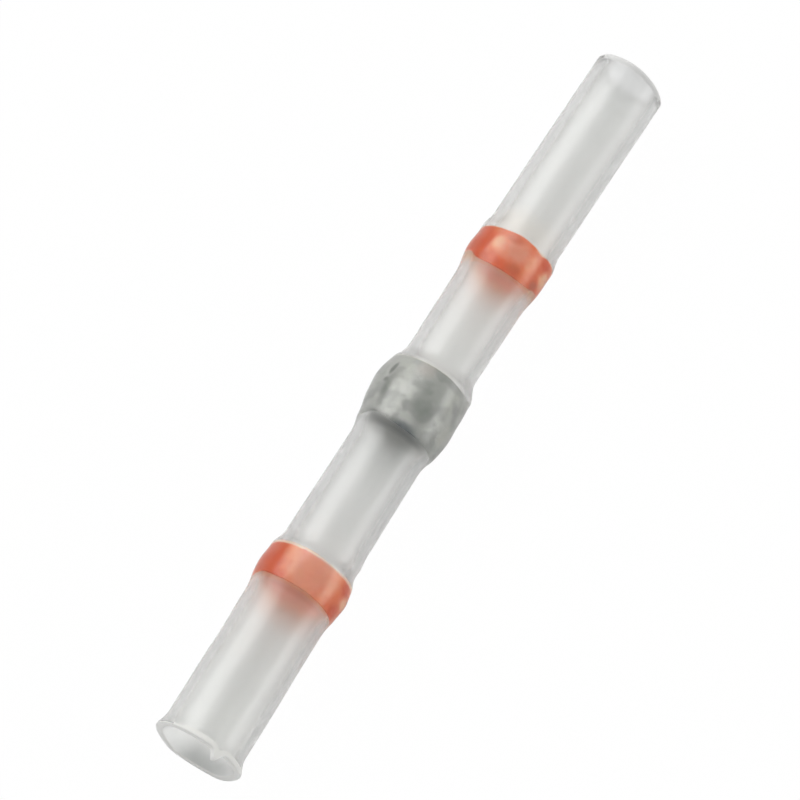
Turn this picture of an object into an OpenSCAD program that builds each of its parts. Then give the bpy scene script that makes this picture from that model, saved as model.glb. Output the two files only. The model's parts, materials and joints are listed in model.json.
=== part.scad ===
// Solder and seal sleeve that joins two wires end to end, lying on its side.
// A clear heat-shrink tube holds a solder ring in its middle and a hot-melt sealing ring towards
// each end. The maker has shrunk it just enough to grip the rings, so it bulges over each ring and
// necks down between them. The rings are slightly crowned, and the tube leaves them steeply and
// flattens towards the necks.
// Millimetres. The tube's axis is X, +X points to the right end and +Z is up. The origin is on the
// axis, half way along the tube.

/* [Tube] */
// Length of the tube from mouth to mouth
tube_length = 40; // [36:0.5:50]
// Wall of the tube at its left end, where it has shrunk least
tube_wall = 0.42; // [0.3:0.02:0.6]
// Bore of the left end, where the first wire goes in
left_end_bore_d = 3.38; // [3.2:0.02:3.6]
// Bore of the right end, where the second wire goes in
right_end_bore_d = 2.8; // [2.6:0.02:2.96]
// Bore at the flared lip of the left mouth
mouth_bore_d = 3.84; // [3.6:0.02:4.2]
// Length of the flare inside the left mouth
flare_length = 0.8; // [0.4:0.1:2]
// Rounding of the tube's cut edges
lip_round = 0.08; // [0.04:0.01:0.12]
// Depth of the flat under the widest bulge, where the warm tube lay while it was shrunk
resting_flat = 0.05; // [0.02:0.01:0.08]

/* [Necks] */
// Bore of the left neck, next to the left sealing ring
left_neck_outer_bore_d = 3.02; // [2.9:0.02:3.2]
// Bore of the left neck, next to the solder ring
left_neck_inner_bore_d = 2.86; // [2.7:0.02:3]
// Bore of the right neck, next to the solder ring
right_neck_inner_bore_d = 2.64; // [2.5:0.02:2.8]
// Bore of the right neck, next to the right sealing ring
right_neck_outer_bore_d = 2.74; // [2.6:0.02:2.9]
// Length over which the tube drops from a sealing ring's end to the bore beside it
seal_shoulder = 0.9; // [0.5:0.1:1.5]
// Length over which the tube drops from an end of the solder ring to the neck beside it
solder_shoulder = 0.9; // [0.5:0.1:2]

/* [Solder ring] */
// Place of the solder ring along the tube
solder_ring_x = 0.1; // [-1:0.1:1]
// Length of the solder ring
solder_ring_length = 3.5; // [2.8:0.1:4.2]
// Outer diameter of the solder ring at its middle
solder_ring_d = 3.84; // [3.7:0.02:4.1]
// Height of the solder ring's crown, from its ends to its middle
solder_crown = 0.25; // [0.05:0.05:0.3]
// Bore of the solder ring, where the stripped wires meet
solder_bore_d = 2.4; // [2.2:0.05:2.5]
// Rounding of the solder ring's edges
solder_edge_r = 0.2; // [0.1:0.02:0.2]

/* [Sealing rings] */
// Place of the left sealing ring along the tube
left_ring_x = -10.2; // [-11.5:0.05:-9.5]
// Length of the left sealing ring
left_ring_length = 1.9; // [1.4:0.1:2.6]
// Outer diameter of the left sealing ring at its middle
left_ring_d = 3.8; // [3.7:0.02:4.1]
// Bore of the left sealing ring
left_ring_bore_d = 2.94; // [2.7:0.02:3]
// Place of the right sealing ring along the tube
right_ring_x = 8.8; // [8.3:0.05:10.3]
// Length of the right sealing ring
right_ring_length = 1.95; // [1.45:0.05:2.6]
// Outer diameter of the right sealing ring at its middle
right_ring_d = 3.16; // [3.1:0.02:3.4]
// Bore of the right sealing ring
right_ring_bore_d = 2.42; // [2.2:0.02:2.5]
// Height of the sealing rings' crown, from their ends to their middle
seal_crown = 0.1; // [0.02:0.02:0.12]
// Rounding of the sealing rings' edges
seal_edge_r = 0.1; // [0.04:0.01:0.11]

/* [Fits] */
// Gap all round between a ring and the tube that grips it
grip_gap = 0.02; // [0.01:0.01:0.05]

/* [Hidden] */

round_fn = 96;
curve_steps = 8;
seat_steps = 12;
edge_steps = 4;
lip_steps = 4;

left_mouth_x = -tube_length / 2;
right_mouth_x = tube_length / 2;

// Heat narrows the tube and thickens its wall, but the area of its section stays what it was. This
// is that area over pi, and it gives the outer radius wherever the bore is known.
section_area = pow(left_end_bore_d / 2 + tube_wall, 2) - pow(left_end_bore_d / 2, 2);
function outer_r(bore_r) = sqrt(bore_r * bore_r + section_area);

// A stretch of bore that is straight in profile: where it starts and ends, and its radius there
function stretch(from_x, from_d, to_x, to_d) = [[from_x, from_d / 2], [to_x, to_d / 2]];

// Each ring as a list of its place along the tube, length, bore, outer diameter, crown and edge rounding
left_ring = [left_ring_x, left_ring_length, left_ring_bore_d, left_ring_d, seal_crown, seal_edge_r];
middle_ring = [solder_ring_x, solder_ring_length, solder_bore_d, solder_ring_d, solder_crown, solder_edge_r];
right_ring = [right_ring_x, right_ring_length, right_ring_bore_d, right_ring_d, seal_crown, seal_edge_r];

function middle_x(ring) = ring[0];
function half_length(ring) = ring[1] / 2;
function start_x(ring) = middle_x(ring) - half_length(ring);
function end_x(ring) = middle_x(ring) + half_length(ring);
function ring_bore_r(ring) = ring[2] / 2;

// Radius of a ring's outside at a distance dx from its middle, crowned along a parabola, and the
// crown's slope there in degrees
function crowned_r(ring, dx) = ring[3] / 2 - ring[4] * pow(dx / half_length(ring), 2);
function crown_slope(ring, dx) = atan(2 * ring[4] * dx / pow(half_length(ring), 2));

// Rounding of a ring's edges, which the wall at its ends limits
function ring_edge_r(ring) = min(ring[5], (crowned_r(ring, half_length(ring)) - ring_bore_r(ring)) * 0.45);

// The stretch of bore that grips a ring and follows its crown
function seat(ring) = [for (i = [0 : seat_steps])
    let (dx = half_length(ring) * (2 * i / seat_steps - 1))
    [middle_x(ring) + dx, crowned_r(ring, dx) + grip_gap]];

// Points strictly between a ring's end and the foot of the shoulder beside it, from left to right.
// The tube leaves the ring steeply and flattens along a parabola. The way is 1 to the right of the
// ring and -1 to its left.
function shoulder(ring, way, length, foot_d) =
    let (top_x = middle_x(ring) + way * half_length(ring),
         top_r = crowned_r(ring, half_length(ring)) + grip_gap)
    [for (i = [1 : curve_steps - 1])
        let (s = (way > 0 ? i : curve_steps - i) / curve_steps)
        [top_x + way * length * s, foot_d / 2 + (top_r - foot_d / 2) * pow(1 - s, 2)]];

left_end = stretch(left_mouth_x + flare_length, left_end_bore_d,
                   start_x(left_ring) - seal_shoulder, left_end_bore_d);
left_neck = stretch(end_x(left_ring) + seal_shoulder, left_neck_outer_bore_d,
                    start_x(middle_ring) - solder_shoulder, left_neck_inner_bore_d);
right_neck = stretch(end_x(middle_ring) + solder_shoulder, right_neck_inner_bore_d,
                     start_x(right_ring) - seal_shoulder, right_neck_outer_bore_d);
right_end = stretch(end_x(right_ring) + seal_shoulder, right_end_bore_d,
                    right_mouth_x, right_end_bore_d);

// The flare opens along a parabola, from the mouth in to the left end's straight bore
flare = [for (i = [0 : curve_steps - 1])
    let (s = i / curve_steps)
    [left_mouth_x + s * flare_length,
     (left_end_bore_d + (mouth_bore_d - left_end_bore_d) * pow(1 - s, 2)) / 2]];

// The bore from mouth to mouth, as points of place and radius
bore_line = concat(
    flare,
    left_end,
    shoulder(left_ring, -1, seal_shoulder, left_end_bore_d),
    seat(left_ring),
    shoulder(left_ring, 1, seal_shoulder, left_neck_outer_bore_d),
    left_neck,
    shoulder(middle_ring, -1, solder_shoulder, left_neck_inner_bore_d),
    seat(middle_ring),
    shoulder(middle_ring, 1, solder_shoulder, right_neck_inner_bore_d),
    right_neck,
    shoulder(right_ring, -1, seal_shoulder, right_neck_outer_bore_d),
    seat(right_ring),
    shoulder(right_ring, 1, seal_shoulder, right_end_bore_d),
    right_end);

// How far a rounded lip stands back from the wall's face, at a depth d from the cut end
function lip_cut(d) = d >= lip_round ? 0 : lip_round - sqrt(pow(lip_round, 2) - pow(lip_round - d, 2));
function mouth_depth(x) = min(x - left_mouth_x, right_mouth_x - x);

lip_depths = [for (i = [0 : lip_steps]) lip_round * (1 - cos(90 * i / lip_steps))];
wall_stations = concat(
    [for (i = [0 : lip_steps]) left_mouth_x + lip_depths[i]],
    [for (p = bore_line) if (mouth_depth(p[0]) > lip_round) p[0]],
    [for (i = [lip_steps : -1 : 0]) right_mouth_x - lip_depths[i]]);

function bore_at(x) = lookup(x, bore_line);
inner_side = [for (x = wall_stations) [bore_at(x) + lip_cut(mouth_depth(x)), x]];
outer_side = [for (i = [len(wall_stations) - 1 : -1 : 0])
    let (x = wall_stations[i])
    [outer_r(bore_at(x)) - lip_cut(mouth_depth(x)), x]];

// Height of the surface that the warm tube lay on, which only the widest bulges reached
widest_r = max([for (ring = [left_ring, middle_ring, right_ring])
    outer_r(crowned_r(ring, 0) + grip_gap)]);
resting_z = resting_flat - widest_r;

// Turns a profile of radius and place about the tube's axis
module turned() {
    rotate([0, 90, 0]) rotate_extrude($fn = round_fn) children();
}

// Everything below the surface that the warm tube lay on
module under_resting_surface() {
    depth = widest_r;
    translate([left_mouth_x - depth, -2 * depth, resting_z - depth])
        cube([tube_length + 2 * depth, 4 * depth, depth]);
}

// Points of an arc about a centre, from one angle to another
function arc(centre, radius, from, to) = [for (i = [0 : edge_steps])
    let (a = from + (to - from) * i / edge_steps)
    centre + radius * [cos(a), sin(a)]];

// Half section of a ring, standing at its place along the tube: the bore's rounded edge, the outer
// one, which ends along the crown, and the crown, all mirrored across the ring's middle
module ring_section(ring) {
    edge_r = ring_edge_r(ring);
    edge_dx = half_length(ring) - edge_r;
    slope = crown_slope(ring, edge_dx);
    crown_dx = edge_dx + edge_r * sin(slope);
    upper = concat(
        arc([ring_bore_r(ring) + edge_r, edge_dx], edge_r, 180, 90),
        arc([crowned_r(ring, crown_dx) - edge_r * cos(slope), edge_dx], edge_r, 90, slope),
        [for (i = [1 : curve_steps / 2])
            let (dx = crown_dx * (1 - 2 * i / curve_steps))
            [crowned_r(ring, dx), dx]]);
    lower = [for (i = [len(upper) - 2 : -1 : 0]) [upper[i][0], -upper[i][1]]];
    translate([0, middle_x(ring)]) polygon(concat(upper, lower));
}

// The heat-shrink tube: flared mouth, left end, seat, neck, solder seat, neck, seat, right end
module sleeve() {
    color([0.86, 0.87, 0.85, 0.55]) difference() {
        turned() polygon(concat(inner_side, outer_side));
        under_resting_surface();
    }
}

// The band of low-melting solder that the stripped wires meet in
module solder_ring() {
    color([0.62, 0.63, 0.61]) turned() ring_section(middle_ring);
}

// The hot-melt ring that seals the first wire
module left_sealing_ring() {
    color([0.86, 0.4, 0.26]) turned() ring_section(left_ring);
}

// The hot-melt ring that seals the second wire
module right_sealing_ring() {
    color([0.86, 0.4, 0.26]) turned() ring_section(right_ring);
}

sleeve();
solder_ring();
left_sealing_ring();
right_sealing_ring();
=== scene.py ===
"""Looks of a heat shrink wire connector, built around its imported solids.

A clear, slightly milky heat-shrink tube lies on its side. It grips a band of dull solder in its
middle and an orange hot-melt sealing ring towards each end. Geometry Nodes make the tube and the
three rings from rules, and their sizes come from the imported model.

Inside the node trees lengths are millimetres, and the last step of each tree brings them to metres.
Angles go round the tube's axis in degrees, from the top towards +Y.
"""

from __future__ import annotations

import json
import logging
import math
from dataclasses import dataclass, field
from enum import Enum

import bpy
from bpy.types import ID, Material, Node, NodeSocket, NodeTree, Object
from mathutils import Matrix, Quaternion, Vector


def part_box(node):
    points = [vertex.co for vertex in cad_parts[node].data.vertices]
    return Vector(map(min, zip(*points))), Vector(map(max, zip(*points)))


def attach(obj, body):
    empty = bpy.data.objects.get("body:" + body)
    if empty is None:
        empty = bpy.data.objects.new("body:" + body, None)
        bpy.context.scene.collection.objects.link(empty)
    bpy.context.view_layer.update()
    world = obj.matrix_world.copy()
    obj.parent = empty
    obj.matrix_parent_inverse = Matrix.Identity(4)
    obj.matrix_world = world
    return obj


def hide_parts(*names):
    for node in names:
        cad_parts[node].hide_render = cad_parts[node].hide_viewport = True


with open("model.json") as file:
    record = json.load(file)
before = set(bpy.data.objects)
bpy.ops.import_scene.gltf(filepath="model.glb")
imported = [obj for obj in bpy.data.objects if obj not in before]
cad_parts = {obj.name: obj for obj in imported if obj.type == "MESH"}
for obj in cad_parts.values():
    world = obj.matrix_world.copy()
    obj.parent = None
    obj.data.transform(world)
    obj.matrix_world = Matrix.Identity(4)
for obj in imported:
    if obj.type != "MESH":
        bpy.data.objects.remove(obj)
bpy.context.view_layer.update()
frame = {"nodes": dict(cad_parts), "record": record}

LOG = logging.getLogger("connector")
MM = 1000.0
BODY = "root"

TOWARDS_CAMERA = Vector((-0.3338, -0.1983, 0.9215)).normalized()
UPPER_LEFT = 77.85
LOWER_RIGHT = UPPER_LEFT - 180.0
NEAREST = UPPER_LEFT - 90.0
FARTHEST = UPPER_LEFT + 90.0
ALL_ROUND = 900.0

# The middle of a wall lies between these two sides, of -1 inside to 1 outside
INNER_SIDE = -0.5
OUTER_SIDE = 0.5

Colour = tuple[float, float, float]


class Value:
    """A number, colour or vector that a node gives, for use in plain arithmetic."""

    def __init__(self, graph: Graph, socket: NodeSocket) -> None:
        """Keeps the socket and the graph that it belongs to."""
        self.graph = graph
        self.socket = socket

    def __add__(self, other: Feed) -> Value:
        """The sum of both."""
        return self.graph.math("ADD", self, other)

    __radd__ = __add__

    def __sub__(self, other: Feed) -> Value:
        """This less the other."""
        return self.graph.math("SUBTRACT", self, other)

    def __rsub__(self, other: Feed) -> Value:
        """The other less this."""
        return self.graph.math("SUBTRACT", other, self)

    def __mul__(self, other: Feed) -> Value:
        """The product of both."""
        return self.graph.math("MULTIPLY", self, other)

    def __truediv__(self, other: Feed) -> Value:
        """This over the other."""
        return self.graph.math("DIVIDE", self, other)


Feed = float | int | str | tuple | Value | Material


class Graph:
    """Adds nodes to one node tree and joins them up."""

    def __init__(self, tree: NodeTree) -> None:
        """Keeps the tree that the nodes go into, and empties it."""
        self.tree = tree
        tree.nodes.clear()

    def feed(self, socket: NodeSocket, value: Feed) -> None:
        """Links a value to an input, or sets a constant on it.

        Args:
            socket: The input to feed.
            value: A value of this graph, or a constant. A colour has three numbers.
        """
        if isinstance(value, Value):
            self.tree.links.new(value.socket, socket)
        elif socket.type == "RGBA":
            socket.default_value = (*value, 1.0)
        else:
            socket.default_value = value

    def node(self, kind: str, inputs: dict[str | int, Feed] | None = None, **settings: object) -> Node:
        """Adds a node.

        Args:
            kind: Blender's name of the node type.
            inputs: What goes into each input, by its name or number.
            **settings: The node's own properties.

        Returns:
            The new node.
        """
        node = self.tree.nodes.new(kind)
        for name, setting in settings.items():
            setattr(node, name, setting)
        for key, value in (inputs or {}).items():
            self.feed(node.inputs[key], value)
        return node

    def out(self, node: Node, key: str | int = 0) -> Value:
        """One output of a node, ready for arithmetic."""
        return Value(self, node.outputs[key])

    def math(self, operation: str, *terms: Feed) -> Value:
        """The result of a Math node on the terms."""
        return self.out(self.node("ShaderNodeMath", dict(enumerate(terms)), operation=operation))

    def ramp(
        self, value: Feed, start: Feed, end: Feed, low: Feed = 0.0, high: Feed = 1.0, kind: str = "SMOOTHSTEP"
    ) -> Value:
        """Goes from low to high as value goes from start to end, with soft ends unless kind is LINEAR."""
        names = {"Value": value, "From Min": start, "From Max": end, "To Min": low, "To Max": high}
        return self.out(self.node("ShaderNodeMapRange", names, interpolation_type=kind))

    def split(self, vector: Feed) -> tuple[Value, Value, Value]:
        """The x, y and z of a vector."""
        node = self.node("ShaderNodeSeparateXYZ", {0: vector})
        return tuple(self.out(node, key) for key in range(3))

    def join(self, x: Feed, y: Feed, z: Feed) -> Value:
        """A vector of x, y and z."""
        return self.out(self.node("ShaderNodeCombineXYZ", {0: x, 1: y, 2: z}))

    def scaled(self, vector: Feed, factor: Feed) -> Value:
        """A vector times a factor."""
        return self.out(self.node("ShaderNodeVectorMath", {0: vector, 3: factor}, operation="SCALE"))

    def noise(self, place: Value, scale: float, detail: float, rough: float) -> Value:
        """Smooth random values from about 0.2 to 0.8, with finer layers by detail and rough."""
        inputs = {"Vector": place, "Scale": scale, "Detail": detail, "Roughness": rough}
        return self.out(self.node("ShaderNodeTexNoise", inputs, noise_dimensions="3D"))

    def use(self, group: NodeTree, inputs: dict[str, Feed]) -> Node:
        """Adds a node group, with what goes into each of its named inputs."""
        kind = "GeometryNodeGroup" if group.bl_idname == "GeometryNodeTree" else "ShaderNodeGroup"
        return self.node(kind, inputs, node_tree=group)


ORIGIN = (0.0, 0.0, 0.0)
SPOT_INPUTS = {"Along": 0.0, "Angle": 0.0, "At": 0.0, "At Angle": 0.0, "Reach": 1.0, "Spread": 0.5}
SOCKET_KINDS = {float: "Float", int: "Int", tuple: "Vector", type(None): "Material"}
Inputs = dict[str, float | int | tuple | None]


class GroupGraph(Graph):
    """A node group with named inputs and outputs."""

    def __init__(self, name: str, kind: str, inputs: Inputs, outputs: dict[str, str]) -> None:
        """Makes the group and its sockets.

        Args:
            name: The group's name.
            kind: GeometryNodeTree or ShaderNodeTree.
            inputs: Each input's usual value, whose type gives the socket's kind. None is a material.
            outputs: Each output's socket kind.
        """
        super().__init__(bpy.data.node_groups.new(name, kind))
        for label, usual in inputs.items():
            socket = f"NodeSocket{SOCKET_KINDS[type(usual)]}"
            item = self.tree.interface.new_socket(label, in_out="INPUT", socket_type=socket)
            if usual is not None:
                item.default_value = usual
        for label, socket in outputs.items():
            self.tree.interface.new_socket(label, in_out="OUTPUT", socket_type=f"NodeSocket{socket}")
        self.start = self.tree.nodes.new("NodeGroupInput")
        self.end = self.tree.nodes.new("NodeGroupOutput")

    def given(self, name: str) -> Value:
        """One of the group's inputs."""
        return self.out(self.start, name)

    def taken(self, *names: str) -> list[Value]:
        """Several of the group's inputs."""
        return [self.given(name) for name in names]

    def give(self, name: str, value: Feed) -> None:
        """Feeds one of the group's outputs."""
        self.feed(self.end.inputs[name], value)

    def away(self) -> Value:
        """Works out how far a point is from the group's spot, counted in its reach and spread.

        Returns:
            The square of that.
        """
        along, angle, at, at_angle, reach, spread = self.taken(*SPOT_INPUTS)
        across = (along - at) / reach
        turn = self.math("SINE", (angle - at_angle) / 2) * 2 / spread
        return across * across + turn * turn


def add_object(name: str, data: ID) -> Object:
    """Adds an object to the scene.

    Args:
        name: Its name.
        data: Its mesh, lamp or camera.

    Returns:
        The object.
    """
    piece = bpy.data.objects.new(name, data)
    bpy.context.scene.collection.objects.link(piece)
    return piece


def run_tree(name: str, tree: NodeTree, settings: dict[str, object]) -> Object:
    """Runs a Geometry Nodes tree once and keeps what it makes as a plain mesh.

    Args:
        name: The new piece's name.
        tree: The tree.
        settings: The value of each named input.

    Returns:
        A mesh object at the origin.
    """
    piece = add_object(name, bpy.data.meshes.new(f"{name}_start"))
    modifier = piece.modifiers.new("Shape", "NODES")
    modifier.node_group = tree
    for item in tree.interface.items_tree:
        if item.in_out == "INPUT" and item.name in settings:
            modifier[item.identifier] = settings[item.name]
    depsgraph = bpy.context.evaluated_depsgraph_get()
    made = piece.evaluated_get(depsgraph)
    mesh = bpy.data.meshes.new_from_object(made, preserve_all_data_layers=True, depsgraph=depsgraph)
    piece.modifiers.remove(modifier)
    piece.data = mesh
    mesh.name = name
    return piece


class Rise(Enum):
    """How the bore goes from one radius to the next."""

    EVEN = "the same slope all the way"
    LATE = "level at first and steepest at its end"
    EARLY = "steepest at first and level at its end"


@dataclass(frozen=True)
class Step:
    """A stretch over which the tube's bore opens or closes by a height."""

    start: float
    end: float
    height: float
    rise: Rise

    def risen(self, g: Graph, along: Value) -> Value:
        """How much of the height is reached at a place along the axis.

        Args:
            g: The graph to add the nodes to.
            along: The place.

        Returns:
            The height there.
        """
        share = g.ramp(along, self.start, self.end, kind="LINEAR")
        if self.rise is Rise.LATE:
            share = share * share
        elif self.rise is Rise.EARLY:
            share = share * (2 - share)
        return share * self.height


@dataclass(frozen=True)
class Spot:
    """A soft oval on a wall: its place, and its reach along and round the axis."""

    x: float
    angle: float
    reach: float
    spread: float

    def inputs(self, along: Value, angle: Value) -> dict[str, Feed]:
        """Gathers what goes into SPOT_INPUTS.

        Args:
            along: A point's place along the axis.
            angle: Its place round the axis.

        Returns:
            The value of each input.
        """
        return {
            "Along": along, "Angle": angle, "At": self.x, "At Angle": math.radians(self.angle),
            "Reach": self.reach, "Spread": math.radians(self.spread),
        }


@dataclass(frozen=True)
class Dent(Spot):
    """A soft rise of a wall by a height, or a hollow where the height is below zero."""

    height: float


WALL_INPUTS = {
    "Start": 0.0, "End": 1.0, "Lip": 0.1, "Squareness": 0.6, "Lip Share": 0.05, "Rows": 40, "Columns": 32,
}
FINISH_INPUTS = {"Finish": None, "Lip Finish": None}
ROUNDING = 1e-6


@dataclass(frozen=True)
class WallMesh:
    """How a closed wall is laid out: rows along its section, columns round the axis, and its lips."""

    rows: int
    columns: int
    lip_share: float
    lip: float
    squareness: float

    def settings(self, start: float, end: float) -> dict[str, float]:
        """The values of WALL_INPUTS for a wall from start to end."""
        values = (start, end, self.lip, self.squareness, self.lip_share, self.rows, self.columns)
        return dict(zip(WALL_INPUTS, values))


def wall_group() -> NodeTree:
    """Builds the group that lays out the wall of a pipe as a grid.

    The grid runs along the outside, round the right lip, back along the inside and round the left
    lip. The group says for each of its points how far along the axis it goes, at what angle, and on
    which side of the wall, from -1 inside to 1 outside.

    Returns:
        The group.
    """
    outputs = {"Grid": "Geometry", "Along": "Float", "Angle": "Float", "Side": "Float"}
    g = GroupGraph("Pipe wall", "GeometryNodeTree", WALL_INPUTS, outputs)
    start, end, lip_size, squareness, lip_share, rows, columns = g.taken(*WALL_INPUTS)
    counts = {"Vertices X": rows + 1, "Vertices Y": columns + 1}
    grid = g.node("GeometryNodeMeshGrid", {"Size X": 1.0, "Size Y": 1.0} | counts)
    across, around, _ = g.split(g.out(g.node("GeometryNodeInputPosition")))
    turn = (across + 0.5) * 2
    whole = g.math("FLOOR", turn + ROUNDING)
    back = g.math("MODULO", whole, 2)
    part = turn - whole
    plain = 1 - lip_share
    run = g.math("MINIMUM", part / plain, 1)
    lip = g.math("MAXIMUM", part - plain, 0) / lip_share * math.pi
    face = g.math("COSINE", lip)
    side = g.math("SIGN", face) * g.math("POWER", g.math("ABSOLUTE", face), squareness)
    bulge = g.math("POWER", g.math("ABSOLUTE", g.math("SINE", lip)), squareness) * lip_size
    way = 1 - back * 2
    middle = (start + end) / 2
    length = end - start - lip_size * 2
    g.give("Grid", g.out(grid, "Mesh"))
    g.give("Along", middle + way * ((run - 0.5) * length + bulge))
    g.give("Angle", around * (2 * math.pi))
    g.give("Side", way * side)
    return g.tree


def dent_group() -> NodeTree:
    """Builds the group that gives the height of one soft dent at a point of a wall.

    Returns:
        The group.
    """
    g = GroupGraph("Dent", "GeometryNodeTree", SPOT_INPUTS | {"Height": 0.1}, {"Height": "Float"})
    g.give("Height", g.given("Height") * g.math("EXPONENT", g.away() * -1))
    return g.tree


def bow_group() -> NodeTree:
    """Builds the group that turns a place on the pipe into a point, with the tube's slight bow.

    Returns:
        The group.
    """
    inputs = {"Along": 0.0, "Angle": 0.0, "Radius": 1.0, "Bow": 0.0, "Half Length": 20.0, "Lowest": -10.0}
    g = GroupGraph("Bowed place", "GeometryNodeTree", inputs, {"Place": "Vector"})
    along, angle, radius, bow, half_length, lowest = g.taken(*inputs)
    share = along / half_length
    y = radius * g.math("SINE", angle) + bow * (1 - share * share * 2)
    z = g.math("MAXIMUM", radius * g.math("COSINE", angle), lowest)
    g.give("Place", g.join(along, y, z))
    return g.tree


class PieceGraph(GroupGraph):
    """A piece's node tree, with its wall laid out as a grid."""

    def __init__(self, name: str, own: Inputs, wall: NodeTree) -> None:
        """Makes the tree.

        Args:
            name: The tree's name.
            own: The piece's own inputs, beside those of its wall and its finishes.
            wall: The group that lays out a wall.
        """
        inputs = WALL_INPUTS | own | FINISH_INPUTS
        super().__init__(name, "GeometryNodeTree", inputs, {"Geometry": "Geometry"})
        laid = self.use(wall, dict(zip(WALL_INPUTS, self.taken(*WALL_INPUTS))))
        self.grid, self.along, self.angle, self.side = (self.out(laid, key) for key in range(4))


@dataclass(frozen=True)
class Pipework:
    """The groups, bends and sizes that the tube and its rings share."""

    bends: tuple[Dent, ...]
    half_length: float
    lowest: float
    wall: NodeTree = field(default_factory=wall_group)
    dent: NodeTree = field(default_factory=dent_group)
    bowed: NodeTree = field(default_factory=bow_group)
    bow: float = 0.104
    seam: float = 0.0005

    def dents(self, g: PieceGraph, dents: tuple[Dent, ...]) -> Feed:
        """Adds up the heights of several dents.

        Args:
            g: The piece's graph.
            dents: The dents.

        Returns:
            Their height together.
        """
        total: Feed = 0.0
        for dent in dents:
            inputs = dent.inputs(g.along, g.angle) | {"Height": dent.height}
            total = total + g.out(g.use(self.dent, inputs))
        return total

    def lay(self, g: PieceGraph, along: Value, radius: Value, cut: Feed = 0.0) -> Value:
        """Moves the wall's grid to its place, closes its seams and brings it to metres.

        Args:
            g: The piece's graph.
            along: Where each point goes along the axis.
            radius: How far it is from the axis.
            cut: 1 where the lip's finish goes.

        Returns:
            The geometry, with its materials set from the tree's Finish and Lip Finish inputs.
        """
        inputs = {
            "Along": along, "Angle": g.angle, "Radius": radius, "Bow": self.bow,
            "Half Length": self.half_length, "Lowest": self.lowest,
        }
        place = g.out(g.use(self.bowed, inputs))
        marked = g.grid
        for name, value in (("wall_side", g.side), ("cut", cut)):
            marked = g.out(g.node("GeometryNodeStoreNamedAttribute", {
                "Geometry": marked, "Name": name, "Value": value,
            }, data_type="FLOAT", domain="POINT"))
        moved = g.node("GeometryNodeSetPosition", {"Geometry": marked, "Position": place})
        closed = g.node("GeometryNodeMergeByDistance", {"Geometry": g.out(moved), "Distance": self.seam})
        smooth = g.node("GeometryNodeSetShadeSmooth", {"Geometry": g.out(closed)})
        metres = g.node("GeometryNodeTransform", {"Geometry": g.out(smooth), "Scale": (1 / MM,) * 3})
        plain = g.node("GeometryNodeRealizeInstances", {"Geometry": g.out(metres)})
        dressed = g.node("GeometryNodeSetMaterial", {"Geometry": g.out(plain), "Material": g.given("Finish")})
        mark = g.node("GeometryNodeInputNamedAttribute", {"Name": "cut"}, data_type="FLOAT")
        return g.out(g.node("GeometryNodeSetMaterial", {
            "Geometry": g.out(dressed), "Selection": g.math("GREATER_THAN", g.out(mark), 0.5),
            "Material": g.given("Lip Finish"),
        }))


class CadProfile:
    """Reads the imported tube's radii at a place along its axis."""

    def __init__(self, node: Object) -> None:
        """Collects the radii of the vertices, station by station, away from the resting flat.

        Args:
            node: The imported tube.
        """
        stations: dict[float, list[float]] = {}
        for vertex in node.data.vertices:
            if vertex.co.z > 0:
                radius = math.hypot(vertex.co.y, vertex.co.z) * MM
                stations.setdefault(round(vertex.co.x * MM, 3), []).append(radius)
        self.stations = sorted((x, min(radii), max(radii)) for x, radii in stations.items())

    def bore(self, x: float) -> float:
        """Finds the bore's radius.

        Args:
            x: The place along the axis.

        Returns:
            The radius there.
        """
        for (x0, bore0, _), (x1, bore1, _) in zip(self.stations, self.stations[1:]):
            if x0 <= x <= x1:
                return bore0 + (bore1 - bore0) * (x - x0) / (x1 - x0)
        raise ValueError(f"the tube has no station at {x} mm")

    def section_area(self, x: float) -> float:
        """The wall's area over pi at the station nearest to x, in square millimetres."""
        _, bore, outer = min(self.stations, key=lambda station: abs(station[0] - x))
        return outer * outer - bore * bore


@dataclass(frozen=True)
class RingPlace:
    """Where a ring sits and its radii, in millimetres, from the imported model."""

    start: float
    end: float
    bore: float
    outer: float
    crown: float

    @classmethod
    def of(cls, node: str, mount: str, profile: CadProfile) -> RingPlace:
        """Reads a ring's place from its node's box, its bore's mount and the seat that grips it.

        Args:
            node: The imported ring's node.
            mount: The mount of its bore.
            profile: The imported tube's radii.

        Returns:
            The place.
        """
        low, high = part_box(node)
        start, end = low.x * MM, high.x * MM
        mounts = {m["name"]: m for m in frame["record"]["mounts"]}
        crown = profile.bore((start + end) / 2) - profile.bore(start)
        return cls(start, end, mounts[mount]["dims"]["r_mm"], high.z * MM, crown)

    @property
    def middle(self) -> float:
        """The ring's middle along the axis."""
        return (self.start + self.end) / 2


def pattern_group() -> NodeTree:
    """Builds the shader group that gives a point's place along and round the tube's axis.

    Returns:
        The group.
    """
    outputs = {"Place": "Vector", "Along": "Float", "Angle": "Float"}
    g = GroupGraph("Pipe place", "ShaderNodeTree", {}, outputs)
    place = g.scaled(g.out(g.node("ShaderNodeTexCoord"), "Object"), MM)
    x, y, z = g.split(place)
    g.give("Place", place)
    g.give("Along", x)
    g.give("Angle", g.math("ARCTAN2", y, z))
    return g.tree


def streak_group() -> NodeTree:
    """Builds the shader group of faint lines that run along the tube, as drawn tube has.

    Returns:
        The group.
    """
    inputs = {"Place": ORIGIN, "Fineness": 2.0, "Stretch": 0.05}
    g = GroupGraph("Drawn streaks", "ShaderNodeTree", inputs, {"Streak": "Float"})
    place, fineness, stretch = g.taken(*inputs)
    x, y, z = g.split(place)
    drawn = g.scaled(g.join(x * stretch, y, z), fineness)
    g.give("Streak", g.noise(drawn, scale=1.0, detail=3.0, rough=0.55))
    return g.tree


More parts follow.
